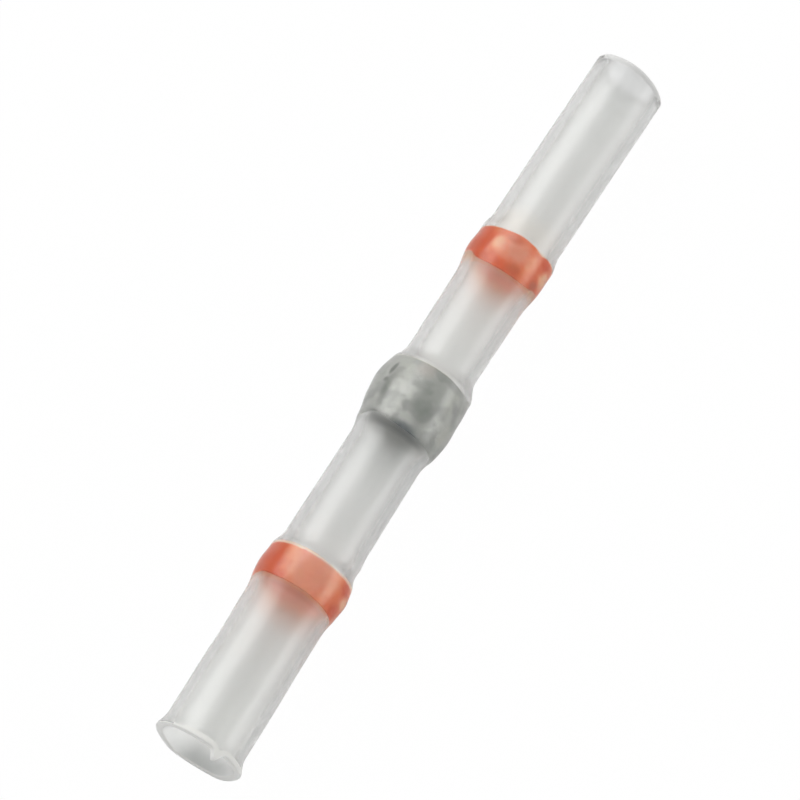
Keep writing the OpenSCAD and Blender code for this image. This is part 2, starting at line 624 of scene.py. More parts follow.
def blotch_group() -> NodeTree:
    """Builds the shader group of soft irregular patches, as a mask from 0 to 1.

    Returns:
        The group.
    """
    inputs = {"Place": ORIGIN, "Fineness": 1.0, "Level": 0.5, "Softness": 0.1}
    g = GroupGraph("Blotches", "ShaderNodeTree", inputs, {"Mask": "Float"})
    place, fineness, level, softness = g.taken(*inputs)
    lumps = g.noise(g.scaled(place, fineness), scale=1.0, detail=2.5, rough=0.5)
    g.give("Mask", g.ramp(lumps, level - softness, level + softness))
    return g.tree


def patch_group() -> NodeTree:
    """Builds the shader group of one soft oval patch, as a mask from 0 to 1.

    Returns:
        The group.
    """
    inputs = {"Place": ORIGIN, "Softness": 0.4, "Raggedness": 0.5}
    g = GroupGraph("Hand-placed patch", "ShaderNodeTree", SPOT_INPUTS | inputs, {"Mask": "Float"})
    place, softness, raggedness = g.taken(*inputs)
    lumps = g.noise(place, scale=2.2, detail=3.0, rough=0.6)
    away = g.math("SQRT", g.away()) + (lumps - 0.5) * raggedness * 2
    g.give("Mask", g.ramp(away, 1 - softness, 1 + softness, 1.0, 0.0))
    return g.tree


@dataclass(frozen=True)
class Patterns:
    """The shader groups that more than one finish uses."""

    place: NodeTree = field(default_factory=pattern_group)
    streaks: NodeTree = field(default_factory=streak_group)
    blotches: NodeTree = field(default_factory=blotch_group)
    patch: NodeTree = field(default_factory=patch_group)


@dataclass(frozen=True)
class Patch(Spot):
    """A patch of another colour: its tint, how strong it is, and how soft and ragged its edge is."""

    tint: Colour
    strength: float
    softness: float
    raggedness: float


class FinishGraph(Graph):
    """A material's node tree with one Principled shader, and the shared patterns at hand."""

    def __init__(self, name: str, patterns: Patterns) -> None:
        """Makes the material.

        Args:
            name: The material's name.
            patterns: The shared shader groups.
        """
        self.material = bpy.data.materials.new(name)
        self.material.use_nodes = True
        super().__init__(self.material.node_tree)
        self.patterns = patterns
        self.skin = self.node("ShaderNodeBsdfPrincipled")
        self.node("ShaderNodeOutputMaterial", {"Surface": self.out(self.skin)})
        point = self.use(patterns.place, {})
        self.place, self.along, self.angle = (self.out(point, key) for key in range(3))

    def set(self, **values: Feed) -> None:
        """Sets the shader's sockets, with each underscore of a name standing for a space."""
        for name, value in values.items():
            self.feed(self.skin.inputs[name.replace("_", " ")], value)

    def blotches(self, fineness: float, level: float, softness: float) -> Value:
        """The mask of soft irregular patches."""
        inputs = {"Place": self.place, "Fineness": fineness, "Level": level, "Softness": softness}
        return self.out(self.use(self.patterns.blotches, inputs))

    def streaks(self, fineness: float, stretch: float) -> Value:
        """Faint lines that run along the tube."""
        inputs = {"Place": self.place, "Fineness": fineness, "Stretch": stretch}
        return self.out(self.use(self.patterns.streaks, inputs))

    def patched(self, colour: Feed, patches: tuple[Patch, ...]) -> Feed:
        """Lays patches over a colour, one after the other.

        Args:
            colour: The colour below.
            patches: The patches.

        Returns:
            The colour with its patches.
        """
        for patch in patches:
            edge = {"Place": self.place, "Softness": patch.softness, "Raggedness": patch.raggedness}
            mask = self.out(self.use(self.patterns.patch, patch.inputs(self.along, self.angle) | edge))
            colour = self.blend(mask * patch.strength, colour, patch.tint)
        return colour

    def blend(self, share: Feed, a: Feed, b: Feed) -> Value:
        """Mixes two colours.

        Args:
            share: How far the mix has gone, from 0 to 1.
            a: The colour at 0.
            b: The colour at 1.

        Returns:
            The mixed colour.
        """
        node = self.node("ShaderNodeMix", {"Factor": share}, data_type="RGBA")
        for socket, colour in zip((s for s in node.inputs if s.type == "RGBA"), (a, b)):
            self.feed(socket, colour)
        return Value(self, [s for s in node.outputs if s.type == "RGBA"][0])

    def wall_side(self) -> Value:
        """Which side of its wall a point is on, from -1 inside to 1 outside."""
        return self.out(self.node("ShaderNodeAttribute", attribute_name="wall_side"), "Fac")

    def bump(self, height: Value, distance: float, strength: float) -> Value:
        """A normal from a height, where 1 stands up by a distance in metres."""
        inputs = {"Height": height, "Distance": distance, "Strength": strength}
        return self.out(self.node("ShaderNodeBump", inputs))


@dataclass(frozen=True)
class TubeFinish:
    """Clear, slightly milky polyolefin with a satin skin."""

    patches: tuple[Patch, ...]
    colour: Colour = (0.93, 0.935, 0.92)
    cloud: Colour = (0.9021, 0.90695, 0.8924)
    skin_roughness: float = 0.24
    bore_roughness: float = 0.4
    streakiness: float = 0.06
    clearness: float = 0.93
    ior: float = 1.4

    def material(self, patterns: Patterns) -> Material:
        """Builds the finish.

        Args:
            patterns: The shared shader groups.

        Returns:
            The material.
        """
        g = FinishGraph("clear tube", patterns)
        streaks = g.streaks(fineness=2.4, stretch=0.03)
        shade = g.blend(g.blotches(fineness=0.5, level=0.5, softness=0.25), self.colour, self.cloud)
        plain = g.ramp(g.wall_side(), INNER_SIDE, OUTER_SIDE, self.bore_roughness, self.skin_roughness)
        g.set(Base_Color=g.patched(shade, self.patches), IOR=self.ior, Transmission_Weight=self.clearness)
        g.set(Roughness=plain + (streaks - 0.5) * self.streakiness)
        g.set(Normal=g.bump(streaks, distance=0.00002, strength=0.06))
        return g.material


@dataclass(frozen=True)
class CutEdgeFinish:
    """The tube's cut edges and the bands beside them, made pale and opaque: painted light for the rim's glow
    and highlight.
    """

    patches: tuple[Patch, ...]
    # Pale colours of the painted rim light: the cut face and the band beside it
    face: Colour = (0.91, 0.91, 0.88)
    band: Colour = (0.78, 0.78, 0.75)
    band_side: float = 0.95
    roughness: float = 0.5
    glow: float = 0.8
    glow_reach: Colour = (0.0004, 0.0004, 0.0004)

    def material(self, patterns: Patterns) -> Material:
        """Builds the finish.

        Args:
            patterns: The shared shader groups.

        Returns:
            The material.
        """
        g = FinishGraph("cut edge", patterns)
        grain = g.noise(g.place, scale=3.0, detail=3.0, rough=0.6)
        colour = g.blend(g.ramp(g.wall_side(), OUTER_SIDE, self.band_side), self.face, self.band)
        g.set(Base_Color=g.patched(colour, self.patches), Roughness=self.roughness)
        g.set(Subsurface_Weight=self.glow, Subsurface_Radius=self.glow_reach, Subsurface_Scale=1.0)
        g.set(Normal=g.bump(grain, distance=0.00003, strength=0.5))
        return g.material


@dataclass(frozen=True)
class SolderFinish:
    """Dull grey solder, mottled by flux."""

    patches: tuple[Patch, ...]
    grey: Colour = (0.44, 0.445, 0.42)
    dark: Colour = (0.34, 0.35, 0.33)
    metal: float = 0.5
    grey_roughness: float = 0.57
    dark_roughness: float = 0.74

    def material(self, patterns: Patterns) -> Material:
        """Builds the finish.

        Args:
            patterns: The shared shader groups.

        Returns:
            The material.
        """
        g = FinishGraph("dull solder", patterns)
        mottle = g.blotches(fineness=1.1, level=0.52, softness=0.1)
        lumps = g.noise(g.place, scale=1.5, detail=4.0, rough=0.55)
        colour = g.patched(g.blend(mottle, self.grey, self.dark), self.patches)
        g.set(Base_Color=colour, Metallic=self.metal)
        g.set(Roughness=g.ramp(mottle, 0.0, 1.0, self.grey_roughness, self.dark_roughness))
        g.set(Normal=g.bump(lumps, distance=0.00012, strength=0.6))
        return g.material


@dataclass(frozen=True)
class HotMeltFinish:
    """Translucent orange-red hot-melt adhesive with a soft gloss."""

    patches: tuple[Patch, ...]
    colour: Colour = (0.78, 0.22, 0.085)
    deep: Colour = (0.72, 0.16, 0.05)
    # Paler colour on the ring's bore: a painted glow of light through the melt, where the bore lies in shade
    painted_bore_glow: Colour = (0.87, 0.38, 0.25)
    bore_side: float = -0.2
    skin_side: float = 0.6
    roughness: float = 0.4
    glow: float = 0.6
    glow_reach: Colour = (0.0015, 0.0006, 0.0003)

    def material(self, patterns: Patterns) -> Material:
        """Builds the finish.

        Args:
            patterns: The shared shader groups.

        Returns:
            The material.
        """
        g = FinishGraph("orange hot melt", patterns)
        mottle = g.blotches(fineness=1.1, level=0.52, softness=0.12)
        lumps = g.noise(g.place, scale=2.0, detail=3.0, rough=0.5)
        outside = g.patched(g.blend(mottle, self.colour, self.deep), self.patches)
        # The bore side takes the painted glow
        depth = g.ramp(g.wall_side(), self.bore_side, self.skin_side)
        colour = g.blend(depth, self.painted_bore_glow, outside)
        g.set(Base_Color=colour, Roughness=self.roughness)
        g.set(Subsurface_Weight=self.glow, Subsurface_Radius=self.glow_reach, Subsurface_Scale=1.0)
        g.set(Normal=g.bump(lumps, distance=0.00006, strength=0.5))
        return g.material


@dataclass
class Tube:
    """The clear heat-shrink tube, whose bore follows its rings and ends."""

    pipework: Pipework
    steps: tuple[Step, ...]
    nicks: tuple[Dent, ...]
    start: float
    end: float
    mouth_bore: float
    section_area: float
    finish: TubeFinish
    lip_finish: CutEdgeFinish
    node: str = "sleeve"
    slot: str = "clear_tube"
    mesh: WallMesh = WallMesh(rows=600, columns=160, lip_share=0.03, lip=0.14, squareness=0.55)
    unevenness: float = 0.01
    stretch: float = 0.35
    cut_slant: float = math.tan(math.radians(4.5))
    slant_reach: float = 5.0
    outer_band: float = 0.3
    inner_band: float = 0.08
    band_turn: float = 30.0

    def radius(self, g: PieceGraph) -> Value:
        """Works out how far each point of the wall is from the axis.

        Args:
            g: The piece's graph.

        Returns:
            The radius.
        """
        bore = g.given("Mouth Bore")
        for step in self.steps:
            bore = bore + step.risen(g, g.along)
        outer = g.math("SQRT", bore * bore + g.given("Section Area"))
        skin = g.join(g.along * self.stretch, g.math("SINE", g.angle), g.math("COSINE", g.angle))
        uneven = (g.noise(skin, scale=1.3, detail=1.5, rough=0.5) - 0.5) * g.given("Unevenness")
        wall_radius = (bore + outer) / 2 + g.side * (outer - bore) / 2
        return wall_radius + self.pipework.dents(g, self.pipework.bends) + uneven

    def painted_rim_light(self, g: PieceGraph) -> Value:
        """Marks the cut edges, and a band beside them on the upper side, where the rim is painted pale as
        painted light.

        Args:
            g: The piece's graph.

        Returns:
            1 on the cut edges and 0 elsewhere.
        """
        from_end = g.math("MINIMUM", g.along - g.given("Start"), g.given("End") - g.along)
        left_middle = math.radians(NEAREST - self.band_turn)
        middle = g.ramp(g.along, -1.0, 1.0, left_middle, math.radians(NEAREST))
        upper = g.math("COSINE", g.angle - middle)
        outer = g.ramp(upper, 0.1, 0.6, self.inner_band, self.outer_band)
        band = g.ramp(g.side, INNER_SIDE, OUTER_SIDE, self.inner_band, outer)
        return g.math("LESS_THAN", from_end, band)

    def build(self, patterns: Patterns) -> Object:
        """Builds the tube and dresses it.

        Args:
            patterns: The shared shader groups.

        Returns:
            The tube.
        """
        own = {
            "Mouth Bore": self.mouth_bore, "Section Area": self.section_area, "Unevenness": self.unevenness,
            "Cut Slant": self.cut_slant,
        }
        g = PieceGraph("Heat-shrink tube", own, self.pipework.wall)
        radius = self.radius(g)
        near_cut = g.ramp(g.along, g.given("End") - self.slant_reach, g.given("End"))
        lean = radius * g.math("COSINE", g.angle - math.radians(UPPER_LEFT))
        slanted = g.along + near_cut * lean * g.given("Cut Slant")
        along = slanted + self.pipework.dents(g, self.nicks)
        g.give("Geometry", self.pipework.lay(g, along, radius, self.painted_rim_light(g)))
        finish, lip_finish = self.finish.material(patterns), self.lip_finish.material(patterns)
        sizes = self.mesh.settings(self.start, self.end) | own
        piece = run_tree("clear_tube", g.tree, sizes | {"Finish": finish, "Lip Finish": lip_finish})
        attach(piece, BODY)
        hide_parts(self.node)
        return piece


class RingKind(Enum):
    """The kinds of ring, each with its lip, its lip's squareness and its lumpiness."""

    SOLDER = (0.25, 0.65, 0.04)
    SEAL = (0.1, 0.55, 0.02)

    def __init__(self, lip: float, squareness: float, lumpiness: float) -> None:
        """Keeps the kind's wall and its lumpiness."""
        self.mesh = WallMesh(rows=200, columns=144, lip_share=0.25, lip=lip, squareness=squareness)
        self.lumpiness = lumpiness


@dataclass
class GripRing:
    """A ring that the tube grips: the solder band or one of the sealing rings."""

    name: str
    node: str
    slot: str
    kind: RingKind
    place: RingPlace
    bites: tuple[Dent, ...]
    finish: SolderFinish | HotMeltFinish
    pipework: Pipework
    bedded: float = 0.06
    bore_side: float = -0.2
    skin_side: float = 0.8

    def radius(self, g: PieceGraph) -> Value:
        """Works out how far each point of the ring is from the axis.

        The outside is crowned and beds a little into the tube's wall, as if both had melted together.

        Args:
            g: The piece's graph.

        Returns:
            The radius.
        """
        start, end, bore, widest, crown = g.taken("Start", "End", "Bore", "Outer", "Crown")
        share = (g.along - (start + end) / 2) / ((end - start) / 2)
        outer = widest - crown * share * share
        middle = (bore + outer) / 2
        half = (outer - bore) / 2
        skin = g.join(g.along, middle * g.math("SINE", g.angle), middle * g.math("COSINE", g.angle))
        lumps = (g.noise(skin, scale=0.9, detail=2.0, rough=0.5) - 0.5) * g.given("Lumpiness")
        outside = g.ramp(g.side, self.bore_side, self.skin_side)
        bent = self.pipework.dents(g, self.pipework.bends)
        return middle + g.side * half + outside * (lumps + g.given("Bedded")) + bent

    def build(self, patterns: Patterns) -> Object:
        """Builds the ring and dresses it.

        Args:
            patterns: The shared shader groups.

        Returns:
            The ring.
        """
        own = {
            "Bore": self.place.bore, "Outer": self.place.outer, "Crown": self.place.crown,
            "Bedded": self.bedded, "Lumpiness": self.kind.lumpiness,
        }
        g = PieceGraph(self.name, own, self.pipework.wall)
        along = g.along + self.pipework.dents(g, self.bites)
        g.give("Geometry", self.pipework.lay(g, along, self.radius(g)))
        finish = self.finish.material(patterns)
        sizes = self.kind.mesh.settings(self.place.start, self.place.end) | own
        piece = run_tree(self.name, g.tree, sizes | {"Finish": finish, "Lip Finish": finish})
        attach(piece, BODY)
        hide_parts(self.node)
        return piece


BENDS = (
    Dent(-19.95, LOWER_RIGHT, 0.5, 55.0, 0.14),
    Dent(-19.9, UPPER_LEFT, 0.6, 45.0, 0.06),
    Dent(-17.0, LOWER_RIGHT, 2.5, 55.0, 0.04),
    Dent(-14.3, UPPER_LEFT, 1.5, 55.0, -0.04),
    Dent(-9.7, UPPER_LEFT, 0.4, 45.0, -0.05),
    Dent(-10.1, LOWER_RIGHT, 0.4, 45.0, 0.05),
    Dent(-8.2, LOWER_RIGHT, 0.45, 45.0, 0.06),
    Dent(-1.2, UPPER_LEFT, 0.55, 45.0, -0.08),
    Dent(0.8, UPPER_LEFT, 0.7, 45.0, 0.09),
    Dent(0.4, LOWER_RIGHT, 0.6, 45.0, -0.06),
    Dent(2.1, LOWER_RIGHT, 0.45, 45.0, 0.12),
    Dent(8.6, UPPER_LEFT, 0.5, 45.0, 0.05),
    Dent(10.0, UPPER_LEFT, 0.35, 45.0, 0.08),
    Dent(9.7, LOWER_RIGHT, 0.4, 45.0, 0.07),
)

MOUTH_NICKS = (
    Dent(-20.0, -35.0, 0.3, 6.0, -0.5),
    Dent(-20.0, -75.0, 0.4, 16.0, -0.08),
    Dent(-20.0, -12.0, 0.5, 60.0, -0.18),
    Dent(-20.0, 215.0, 0.5, 24.0, -0.12),
    Dent(-20.0, 138.0, 0.5, 20.0, -0.07),
    Dent(-20.0, 170.0, 0.5, 30.0, -0.04),
    Dent(20.0, -5.0, 0.6, 60.0, 0.24),
    Dent(20.0, 55.0, 0.6, 25.0, 0.1),
)

LEFT_SEAL_BITES = (
    Dent(-11.1, 55.0, 0.4, 25.0, 0.1),
    Dent(-9.2, -40.0, 0.35, 20.0, -0.06),
)
RIGHT_SEAL_BITES = (
    Dent(7.8, 90.0, 0.5, 42.0, 0.42),
    Dent(7.8, -105.0, 0.4, 42.0, 0.36),
    Dent(9.8, -8.0, 0.35, 18.0, 0.06),
    Dent(9.8, -54.0, 0.35, 12.0, -0.1),
)
SOLDER_BITES = (
    Dent(-1.65, 40.0, 0.5, 30.0, 0.15),
    Dent(1.85, -70.0, 0.5, 30.0, -0.08),
)


@dataclass(frozen=True)
class Softbox:
    """A lamp that stands where the tube's skin throws its light into the camera.

    Its angle goes from the camera's direction towards the upper left of the picture.
    """

    name: str
    angle: float
    distance: float
    width: float
    length: float
    brightness: float

    def build(self) -> None:
        """Builds the lamp, facing the origin."""
        lamp = bpy.data.lights.new(self.name, "AREA")
        lamp.shape = "RECTANGLE"
        lamp.size = self.width
        lamp.size_y = self.length
        lamp.energy = self.brightness * math.pi * self.width * self.length
        piece = add_object(self.name, lamp)
        turn = math.atan2(TOWARDS_CAMERA.y, TOWARDS_CAMERA.z) + math.radians(self.angle)
        reach = math.hypot(TOWARDS_CAMERA.y, TOWARDS_CAMERA.z)
        away = Vector((-TOWARDS_CAMERA.x, reach * math.sin(turn), reach * math.cos(turn)))
        piece.location = away * self.distance
        piece.rotation_euler = away.to_track_quat("Z", "X").to_euler()


@dataclass(frozen=True)
class Brightness:
    """How bright something is to the camera, through the tube, in its gloss and as a light."""

    seen: float
    through: float
    glossy: float
    lighting: float

    def strength(self, g: Graph) -> Value:
        """Picks the brightness for each ray.

        Args:
            g: The graph to add the nodes to.

        Returns:
            The brightness.
        """
        path = g.node("ShaderNodeLightPath")
        value: Feed = self.lighting
        for ray, level in (("Glossy", self.glossy), ("Transmission", self.through), ("Camera", self.seen)):
            value = g.ramp(g.out(path, f"Is {ray} Ray"), 0.0, 1.0, value, level, "LINEAR")
        return value


@dataclass
class Studio:
    """Camera, floor, surroundings and lamps."""

    floor_height: float
    camera_distance: float = 0.6
    clip_start: float = 0.01
    clip_end: float = 20.0
    lens: float = 569.0
    frame_pixels: float = 800.0
    pixels_per_metre: float = 21090.0
    origin_pixel: tuple[float, float] = (413.6, 411.8)
    roll: float = math.radians(0.1)
    floor_size: float = 3.0
    paper: Brightness = Brightness(seen=0.99, through=0.35, glossy=0.4, lighting=0.0)
    room: Brightness = Brightness(seen=1.0, through=1.1, glossy=0.4, lighting=0.35)
    paper_colour: Colour = (0.9, 0.9, 0.9)
    white: Colour = (1.0, 1.0, 1.0)
    softboxes: tuple[Softbox, ...] = (
        Softbox("left softbox", angle=52.0, distance=0.5, width=0.38, length=0.5, brightness=3.5),
        Softbox("right softbox", angle=-73.0, distance=0.5, width=0.36, length=0.4, brightness=3.1),
    )

    def camera(self) -> None:
        """Builds the camera at the photograph's viewing angle."""
        data = bpy.data.cameras.new("camera")
        data.lens = self.lens
        data.clip_start = self.clip_start
        data.clip_end = self.clip_end
        piece = add_object("camera", data)
        turn = TOWARDS_CAMERA.to_track_quat("Z", "Y") @ Quaternion((0.0, 0.0, 1.0), self.roll)
        right = turn @ Vector((1.0, 0.0, 0.0))
        up = turn @ Vector((0.0, 1.0, 0.0))
        half = self.frame_pixels / 2
        aside = (self.origin_pixel[0] - half) / self.pixels_per_metre
        below = (self.origin_pixel[1] - half) / self.pixels_per_metre
        aim = right * -aside + up * below
        piece.location = aim + TOWARDS_CAMERA * self.camera_distance
        piece.rotation_euler = turn.to_euler()
        bpy.context.scene.camera = piece

    def floor(self) -> None:
        """Builds the pale floor, which keeps the part's soft shadow."""
        mesh = bpy.data.meshes.new("floor")
        half = self.floor_size / 2
        corners = [(-half, -half), (half, -half), (half, half), (-half, half)]
        mesh.from_pydata([(x, y, self.floor_height) for x, y in corners], [], [(0, 1, 2, 3)])
        material = bpy.data.materials.new("pale floor")
        material.use_nodes = True
        g = Graph(material.node_tree)
        paper = g.node("ShaderNodeBsdfDiffuse", {"Color": self.paper_colour})
        glow = g.node("ShaderNodeEmission", {"Color": self.white, "Strength": 1.0})
        mix = g.node("ShaderNodeMixShader", {0: self.paper.strength(g), 1: g.out(paper), 2: g.out(glow)})
        g.node("ShaderNodeOutputMaterial", {"Surface": g.out(mix)})
        mesh.materials.append(material)
        piece = add_object("floor", mesh)

    def surroundings(self) -> None:
        """Sets the white room: plain light on the part, white where it is seen."""
        world = bpy.data.worlds.new("white room")
        world.use_nodes = True
        g = Graph(world.node_tree)
        back = g.node("ShaderNodeBackground", {"Color": self.white, "Strength": self.room.strength(g)})
        g.node("ShaderNodeOutputWorld", {"Surface": g.out(back)})
        bpy.context.scene.world = world

    def build(self) -> None:
        """Builds the whole studio."""
        bpy.context.scene.view_settings.view_transform = "Standard"
        self.camera()
        self.floor()
        self.surroundings()
        for softbox in self.softboxes:
            softbox.build()


# Pale grey for painted highlights on the solder's two lit bands
PAINTED_HIGHLIGHT_GREY = (0.56, 0.57, 0.53)
# Cream for painted highlights: a line of light round the right edge of the solder and of the left sealing
# ring
PAINTED_RIM_HIGHLIGHT = (0.8, 0.78, 0.66)
WARM_GREY = (0.36, 0.33, 0.3)
LIGHT_OLIVE = (0.45, 0.46, 0.38)
GREENISH_DARK = (0.17, 0.19, 0.165)
# Blue-grey for painted shade at the solder's left edge
EDGE_SHADE_BLUE_GREY = (0.11, 0.13, 0.14)
# Near black for small dark spots, and for painted shade at the solder's left edge
NEAR_BLACK = (0.09, 0.095, 0.085)

SOLDER_PATCHES = (
    Patch(-0.3, -18.0, 0.55, 14.0, GREENISH_DARK, 0.55, 0.6, 0.7),
    Patch(0.75, -22.0, 0.9, 16.0, GREENISH_DARK, 0.5, 0.7, 0.7),
    Patch(1.25, 16.0, 0.45, 12.0, GREENISH_DARK, 0.35, 0.7, 0.6),
    # Painted shade at the solder's rounded left edge
    Patch(-1.56, 14.0, 0.2, 36.0, NEAR_BLACK, 0.5, 0.6, 0.3),
    Patch(-0.8, -29.0, 0.6, 10.0, GREENISH_DARK, 0.35, 0.7, 0.7),
    Patch(-0.4, -81.0, 0.6, 14.0, LIGHT_OLIVE, 0.3, 0.7, 0.7),
    # Painted highlights on the solder's upper lit band
    Patch(-0.5, 19.0, 0.75, 13.0, PAINTED_HIGHLIGHT_GREY, 0.35, 0.6, 0.8),
    Patch(0.25, 1.0, 0.5, 7.0, PAINTED_HIGHLIGHT_GREY, 0.25, 0.8, 0.8),
    Patch(0.93, 31.0, 0.8, 14.0, LIGHT_OLIVE, 0.2, 0.7, 0.8),
    Patch(1.5, 5.0, 0.4, 14.0, WARM_GREY, 0.7, 0.6, 0.7),
    Patch(0.77, -52.0, 0.9, 8.0, LIGHT_OLIVE, 0.3, 0.8, 0.7),
    # Painted highlight on the solder's lower lit band
    Patch(-1.04, -52.0, 0.4, 8.0, PAINTED_HIGHLIGHT_GREY, 0.25, 0.8, 0.7),
    Patch(0.91, 48.0, 0.3, 3.5, NEAR_BLACK, 0.75, 0.5, 0.5),
    Patch(0.26, 49.0, 0.12, 4.0, NEAR_BLACK, 0.6, 0.5, 0.5),
    Patch(-0.1, 42.0, 0.6, 5.0, GREENISH_DARK, 0.6, 0.7, 0.7),
    # Painted shade at the solder's left edge, above and in the middle
    Patch(-1.62, 48.0, 0.3, 20.0, NEAR_BLACK, 0.6, 0.6, 0.3),
    Patch(-1.65, -14.0, 0.3, 20.0, EDGE_SHADE_BLUE_GREY, 0.9, 0.7, 0.4),
    # Painted highlight round the solder's right edge
    Patch(1.83, 0.0, 0.07, ALL_ROUND, PAINTED_RIM_HIGHLIGHT, 0.8, 0.4, 0.3),
)

# Deep orange for the rings' sides, where they touch the wall, darkened there also as painted shade
DEEP_ORANGE = (0.62, 0.085, 0.0)
BROWN_ORANGE = (0.5, 0.12, 0.05)
# Pale orange for painted highlights on the sealing rings' lit bands
PAINTED_HIGHLIGHT_ORANGE = (0.9, 0.52, 0.36)
# Pinkish for the rings' middles: partly an air gap under the wall, partly a painted veil of light
PINKISH = (0.71, 0.39, 0.34)
# Pale pink for air gaps under the wall, and for a painted highlight on the right ring
AIR_GAP_AND_HIGHLIGHT_PINK = (0.92, 0.66, 0.5)

LEFT_SEAL_PATCHES = (
    # Pinkish middle and deep orange sides: air gap and contact, with painted light in the middle and painted
    # shade at the sides
    Patch(-10.2, -14.0, 1.1, 34.0, PINKISH, 0.9, 0.4, 0.3),
    Patch(-10.3, 58.0, 1.2, 33.0, DEEP_ORANGE, 1.0, 0.2, 0.45),
    Patch(-11.0, 32.0, 0.3, 20.0, DEEP_ORANGE, 0.9, 0.5, 0.6),
    # Painted highlights on the ring's two lit bands
    Patch(-9.7, 24.0, 0.6, 9.0, PAINTED_HIGHLIGHT_ORANGE, 0.45, 0.8, 0.8),
    Patch(-10.4, 12.0, 0.6, 4.0, PAINTED_HIGHLIGHT_ORANGE, 0.3, 0.8, 0.8),
    Patch(-10.1, -50.0, 0.8, 9.0, PAINTED_HIGHLIGHT_ORANGE, 0.55, 0.8, 0.8),
    Patch(-9.65, -78.0, 0.35, 12.0, DEEP_ORANGE, 1.0, 0.5, 0.6),
    Patch(-10.98, -80.0, 0.4, 14.0, DEEP_ORANGE, 1.0, 0.5, 0.6),
    Patch(-10.2, -92.0, 0.25, 12.0, AIR_GAP_AND_HIGHLIGHT_PINK, 0.9, 0.6, 0.6),
    # Painted highlight round the ring's right edge
    Patch(-9.33, 0.0, 0.06, ALL_ROUND, PAINTED_RIM_HIGHLIGHT, 0.7, 0.6, 0.5),
)

RIGHT_SEAL_PATCHES = (
    # Deep orange sides and pinkish middle: contact and air gap, with painted shade at the sides and painted
    # light in the middle
    Patch(8.8, 64.0, 1.2, 30.0, DEEP_ORANGE, 1.0, 0.2, 0.45),
    Patch(8.15, 20.0, 0.35, 45.0, DEEP_ORANGE, 0.8, 0.7, 0.6),
    # Painted highlight: a round pale spot on the right ring's upper lit band
    Patch(9.0, 21.0, 0.34, 9.0, AIR_GAP_AND_HIGHLIGHT_PINK, 0.85, 0.7, 0.6),
    Patch(9.0, -12.0, 0.6, 26.0, PINKISH, 0.9, 0.6, 0.5),
    Patch(9.55, 0.0, 0.25, 14.0, BROWN_ORANGE, 0.7, 0.6, 0.6),
    Patch(8.15, -24.0, 0.3, 14.0, BROWN_ORANGE, 0.8, 0.7, 0.6),
    # Painted highlight on the ring's lower lit band
    Patch(8.9, -46.0, 0.6, 10.0, PAINTED_HIGHLIGHT_ORANGE, 0.55, 0.8, 0.8),
    Patch(9.55, -72.0, 0.35, 14.0, DEEP_ORANGE, 1.0, 0.4, 0.6),
    Patch(8.25, -76.0, 0.3, 12.0, BROWN_ORANGE, 1.0, 0.5, 0.6),
    Patch(8.9, -92.0, 0.35, 14.0, AIR_GAP_AND_HIGHLIGHT_PINK, 0.9, 0.6, 0.6),
)

# Orange for a painted glow: light through the sealing rings, painted on the tube beside them
PAINTED_RING_GLOW = (0.9, 0.66, 0.56)
# Warm cream for painted light on the tube just right of the right sealing ring
PAINTED_WARM_LIGHT = (0.93, 0.86, 0.75)
SHADE = (0.6, 0.61, 0.6)
STAINED = (0.86, 0.66, 0.5)
BROWN_SHADE = (0.6, 0.42, 0.34)
ARC_SHADE = (0.34, 0.36, 0.37)
END_SHADE = (0.74, 0.745, 0.74)
# Near white for painted light along the tube's upper-left and lower-right sides
PAINTED_SIDE_LIGHT = (0.995, 0.995, 0.985)
# Grey for painted shade down the middle of the tube, between its two lit bands
MIDDLE_SHADE_GREY = (0.85, 0.85, 0.845)
# Grey for painted shade on the cut edge at the right end
CUT_EDGE_SHADE = (0.65, 0.65, 0.64)

CUT_PATCHES = (
    # Painted shade on the right end's cut edge, near side
    Patch(20.0, NEAREST, 1.5, 110.0, CUT_EDGE_SHADE, 1.0, 0.3, 0.0),
)

